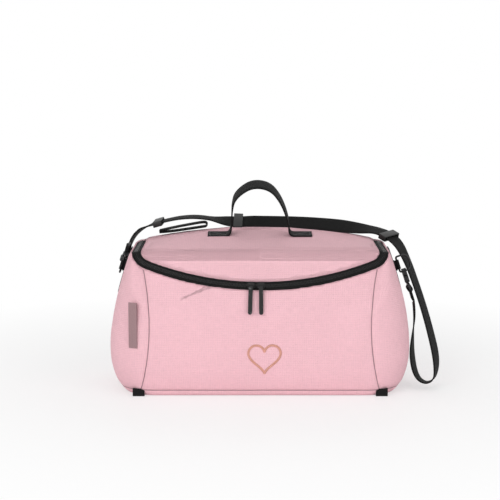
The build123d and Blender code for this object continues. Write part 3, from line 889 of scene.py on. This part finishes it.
class BAG_OT_strap(bpy.types.Operator):
    """Make the shoulder strap, its slides and its slack loop"""

    bl_idname = "bag.strap"
    bl_label = "Shoulder strap"

    def execute(self, context):
        settings = context.scene.bag
        line = strap_line()
        last = len(STRAP_ROUTE) - 1
        widths = [strap_width_at(last * index / (len(line) - 1)) for index in range(len(line))]
        black = webbing_cloth("strap_cloth", settings.black)
        strap = ribbon("shoulder_strap", line, widths, settings.strap_width, settings.strap_cloth)
        finished(strap, "body", black, "webbing", "strap_webbing")
        plastic = moulded_plastic("slide_plastic", shade(settings.black, 0.9))
        for name in SLIDE_NAMES:
            low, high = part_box(f"strap_slide_{name}")
            middle = (low + high) / 2
            index = min(range(len(line)), key=lambda i: (line[i] - middle).length)
            tangent = tangent_at(line, index)
            side = widths[index] - tangent * widths[index].dot(tangent)
            side.normalize()
            up = tangent.cross(side)
            slide = self.slide(f"slide_frame_{name}", line[index], tangent, side, up, settings)
            body = "slide_middle" if name == "middle" else "body"
            finished(slide, body, plastic, "slide_plastic", f"strap_slide_{name}")
        loop = self.slack_loop(settings)
        finished(loop, "body", black, "webbing", "strap_slack_loop")
        lengths(line)[-1]
        return {"FINISHED"}

    def slide(self, name, middle, along, side, up, settings):
        """A moulded frame that the strap runs through."""
        deselect()
        bpy.ops.mesh.primitive_cube_add(size=1)
        frame_piece = bpy.context.object
        frame_piece.name = name
        half_wide = settings.strap_width / 2 + 3.4 * MM
        half_tall, half_long = 4.2 * MM, 7 * MM
        turn = Matrix((side, up, along)).transposed().to_4x4()
        size = Matrix.Diagonal((2 * half_wide, 2 * half_tall, 2 * half_long, 1))
        work = bmesh.new()
        work.from_mesh(frame_piece.data)
        ends = [face for face in work.faces if abs(face.normal.z) > 0.5]
        bmesh.ops.transform(work, matrix=size, verts=work.verts)
        bmesh.ops.inset_individual(work, faces=ends, thickness=2.2 * MM)
        rims = [edge for face in ends for edge in face.edges]
        bmesh.ops.delete(work, geom=ends, context="FACES_ONLY")
        bmesh.ops.bridge_loops(work, edges=rims)
        bmesh.ops.transform(work, matrix=Matrix.Translation(middle) @ turn, verts=work.verts)
        bmesh.ops.recalc_face_normals(work, faces=work.faces)
        work.to_mesh(frame_piece.data)
        work.free()
        bevel = frame_piece.modifiers.new("round", "BEVEL")
        bevel.width = 1.0 * MM
        bevel.segments = 3
        apply_modifiers(frame_piece)
        return frame_piece

    def slack_loop(self, settings):
        """Slack strap folded back on itself, beside the left-hand slide."""
        low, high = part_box("strap_slack_loop")
        rise = 12.5 * MM
        middle = (low + high) / 2
        half = (high.x - low.x) / 2 - 2.5 * MM
        tall, width = 3.6 * MM, 22 * MM
        tilt = Vector((half, 0, rise * 0.5)).normalized()
        upright = Vector((-tilt.z, 0, tilt.x))
        outline = [
            (-half + 3 * MM, -1.2 * MM), (-half * 0.5, -tall * 0.8), (half * 0.2, -tall * 0.9),
            (half - 6 * MM, -tall), (half, -tall), (half + 1 * MM, tall * 0.2), (half - 3 * MM, tall),
            (half * 0.3, tall * 0.9), (-half * 0.4, tall * 0.7), (-half + 3 * MM, 1.2 * MM),
        ]
        points = [middle + tilt * x + upright * z for x, z in outline]
        line = spaced(smooth_line(points), 2 * MM)
        widths = [Vector((0, 1, 0))] * len(line)
        return ribbon("slack_strap", line, widths, width, settings.strap_cloth)


# ---- trim ----------------------------------------------------------------------------
HEART_STEPS = 120


class BAG_OT_motif(bpy.types.Operator):
    """Embroider a small heart on the front"""

    bl_idname = "bag.motif"
    bl_label = "Motif"

    def execute(self, context):
        settings = context.scene.bag
        tree = tree_of(bpy.data.objects["bag_body_cloth"])
        centre, before_front, scale = Vector((6 * MM, 0, 60 * MM)), -300 * MM, 1.45 * MM
        line = []
        for step in range(HEART_STEPS + 1):
            angle = 2 * pi * step / HEART_STEPS
            across = 16 * sin(angle) ** 3
            up = 13 * cos(angle) - 5 * cos(2 * angle) - 2 * cos(3 * angle) - cos(4 * angle)
            start = Vector((centre.x + across * scale, before_front, centre.z + up * scale))
            place, _, _, _ = tree.ray_cast(start, Vector((0, 1, 0)))
            line.append(place)
        line = spaced(line, 0.9 * MM)
        half, slant, lift = 1.5 * MM, 0.5 * MM, Vector((0, -0.55 * MM, 0))
        work = bmesh.new()
        for index in range(len(line) - 1):
            tangent = tangent_at(line, index)
            across = tangent.cross(Vector((0, -1, 0))).normalized()
            start = line[index] - across * half
            end = line[index] + across * half + tangent * slant
            stitch = [start, start.lerp(end, 0.25) + lift, (start + end) / 2 + lift * 1.3]
            stitch += [start.lerp(end, 0.75) + lift, end]
            tube(work, stitch, 0.5 * MM, 5)
        bmesh.ops.recalc_face_normals(work, faces=work.faces)
        heart = from_bmesh("front_heart", work)
        finished(heart, "body", sewing_thread("heart_thread", settings.motif), "front_cloth")
        return {"FINISHED"}


class BAG_OT_finishes(bpy.types.Operator):
    """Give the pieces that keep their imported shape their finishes"""

    bl_idname = "bag.finishes"
    bl_label = "Finishes"

    def execute(self, context):
        settings = context.scene.bag
        band = webbing_cloth("sewn_webbing", settings.black, on_ribbon=False)
        metal = painted_metal("dark_metal", (0.012, 0.012, 0.013))
        finishes = {
            ("end_strip", "ring_tab", "strap_end", "corner_tab"): band,
            ("d_ring", "snap_hook", "hook_gate", "hook_swivel"): metal,
            ("zip_slider", "zip_pull"): painted_metal("zip_metal", (0.006, 0.006, 0.006)),
            ("zip_tape",): zip_tape_cloth("zip_tape", settings.black),
            ("lining", "lid_lining"): plain_cloth("lining", (0.62, 0.55, 0.55)),
            ("inner_pocket",): plain_cloth("pocket", (0.5, 0.44, 0.44), 1.6 * MM),
            ("base_board",): moulded_plastic("board", (0.2, 0.2, 0.2)),
            ("side_label",): plain_cloth("label", (0.3, 0.19, 0.2)),
        }
        for starts, material in finishes.items():
            for name, node in NODES.items():
                if name.startswith(starts):
                    node.data.materials.clear()
                    node.data.materials.append(material)
        return {"FINISHED"}


# ---- stage ---------------------------------------------------------------------------
def facing(place, target):
    """The turn that points a lamp or a camera from its place at a target."""
    return (target - place).to_track_quat("-Z", "Y").to_euler()


class BAG_OT_stage(bpy.types.Operator):
    """Make the floor, the lights and the camera"""

    bl_idname = "bag.stage"
    bl_label = "Stage"

    def execute(self, context):
        scene = context.scene
        deselect()
        bpy.ops.mesh.primitive_plane_add(size=12)
        floor = context.object
        floor.name = "floor"
        floor.data.materials.append(self.pale_floor())
        world = bpy.data.worlds.new("studio")
        scene.world = world
        world.use_nodes = True
        tree = world.node_tree
        rays = tree.nodes.new("ShaderNodeLightPath")
        seen = tree.nodes.new("ShaderNodeMath")
        seen.operation = "MAXIMUM"
        tree.links.new(rays.outputs["Is Camera Ray"], seen.inputs[0])
        tree.links.new(rays.outputs["Is Glossy Ray"], seen.inputs[1])
        shown = tree.nodes.new("ShaderNodeMapRange")
        shown.inputs["To Min"].default_value = 0.58
        shown.inputs["To Max"].default_value = 1.0
        tree.links.new(seen.outputs[0], shown.inputs["Value"])
        background = tree.nodes["Background"]
        background.inputs["Color"].default_value = STAGE_WHITE
        tree.links.new(shown.outputs["Result"], background.inputs["Strength"])
        lamps = {
            "key": ((-1.2, -2.3, 1.2), 31, 1.6),
            "fill": ((1.7, -1.9, 0.8), 15, 1.6),
            "rear": ((0.4, 1.8, 1.9), 4, 1.4),
        }
        for name, (place, power, size) in lamps.items():
            lamp = bpy.data.lights.new(name, "AREA")
            lamp.energy, lamp.size = power, size
            holder = new_object(name, lamp)
            holder.location = place
            holder.rotation_euler = facing(holder.location, Vector((0, 0, 100 * MM)))
        camera = bpy.data.cameras.new("camera")
        camera.lens = 107.2
        holder = new_object("camera", camera)
        target = Vector((-0.0148, 0, 0.2010))
        elevation, distance = radians(8), 2.215
        holder.location = target + Vector((0, -cos(elevation), sin(elevation))) * distance
        holder.rotation_euler = facing(holder.location, target)
        scene.camera = holder
        scene.view_settings.view_transform = "Standard"
        return {"FINISHED"}

    def pale_floor(self):
        """White floor that keeps the bag's shadow and runs out into plain white."""
        pale = Finish("pale_floor")
        pale.surface(STAGE_WHITE, 0.6, specular=0.2)
        x, y, _ = pale.split(pale.place())
        near, spread = 0.3, 0.5
        away = ((x * x + y * y).calculated("SQRT") - near) / spread
        seen = pale.node("ShaderNodeLightPath", output="Is Camera Ray")
        mirrored = pale.node("ShaderNodeLightPath", output="Is Glossy Ray")
        glow = pale.node("ShaderNodeEmission", inputs={"Color": STAGE_WHITE, "Strength": 1.0})
        share = (away.clamped() * 0.5 + 0.5) * seen.calculated("MAXIMUM", mirrored)
        made = pale.tree.nodes.new("ShaderNodeMixShader")
        pale.feed(made.inputs[0], share)
        pale.tree.links.new(pale.shader.outputs[0], made.inputs[1])
        pale.tree.links.new(glow.socket, made.inputs[2])
        pale.tree.links.new(made.outputs[0], pale.tree.nodes["Material Output"].inputs[0])
        return pale.material


class BAG_PT_panel(bpy.types.Panel):
    """Lists the bag's settings and steps"""

    bl_idname = "BAG_PT_panel"
    bl_label = "Changing bag"
    bl_space_type = "VIEW_3D"
    bl_region_type = "UI"
    bl_category = "Bag"

    def draw(self, context):
        for name in BagSettings.__annotations__:
            self.layout.prop(context.scene.bag, name)
        for step in STEPS:
            self.layout.operator(step.bl_idname)


STEPS = (
    BAG_OT_stage,
    BAG_OT_strap,
    BAG_OT_body_cloth,
    BAG_OT_lid_cloth,
    BAG_OT_zip,
    BAG_OT_seams,
    BAG_OT_handle,
    BAG_OT_motif,
    BAG_OT_finishes,
)
CLASSES = (BagSettings, *STEPS, BAG_PT_panel)


def register():
    for item in CLASSES:
        bpy.utils.register_class(item)
    bpy.types.Scene.bag = PointerProperty(type=BagSettings)


def unregister():
    del bpy.types.Scene.bag
    for item in reversed(CLASSES):
        bpy.utils.unregister_class(item)


def main():
    register()
    for step in STEPS:
        group, name = step.bl_idname.split(".")
        getattr(getattr(bpy.ops, group), name)()


if __name__ == "__main__":
    main()
